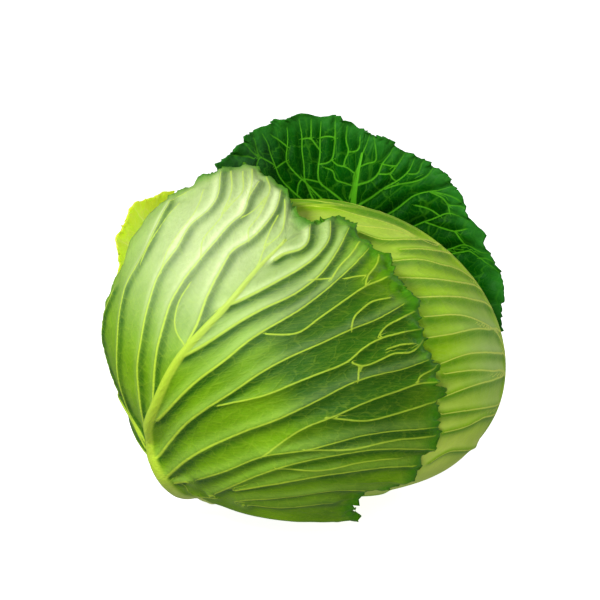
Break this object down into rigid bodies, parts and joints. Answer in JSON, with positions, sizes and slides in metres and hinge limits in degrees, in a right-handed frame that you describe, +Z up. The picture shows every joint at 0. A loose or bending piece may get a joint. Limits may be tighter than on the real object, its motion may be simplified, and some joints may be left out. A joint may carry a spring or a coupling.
{
  "type": "cabbage head",
  "caption": "Dense round head of green cabbage with ribbed, wavy outer leaves wrapped round it, one loose behind, lying on its underside.",
  "frame": {"origin": "centre of the bounding box at the level the head rests on", "axes": "+Z up, front of the pictured view towards -Y, the long side of the leaning head along X"},
  "size_m": [0.206, 0.204, 0.1785],
  "materials": {
    "heart_leaf": "pale green packed leaf",
    "stalk_flesh": "cream cut flesh",
    "head_leaf": "glossy yellow-green leaf with pale ribs",
    "bright_leaf": "bright thin yellow-green leaf",
    "dark_leaf": "deep green leaf with a waxy rim",
    "front_leaf": "green leaf with pale raised ribs and a silvery bloom"
  },
  "bodies": {
    "root": {"heart": "heart_leaf", "stalk": "stalk_flesh", "head_leaf_back": "head_leaf", "head_leaf_left": "head_leaf", "head_leaf_right": "head_leaf", "left_wrapper_leaf": "bright_leaf", "back_wrapper_leaf": "dark_leaf", "front_wrapper_leaf": "front_leaf"}
  },
  "joints": []
}
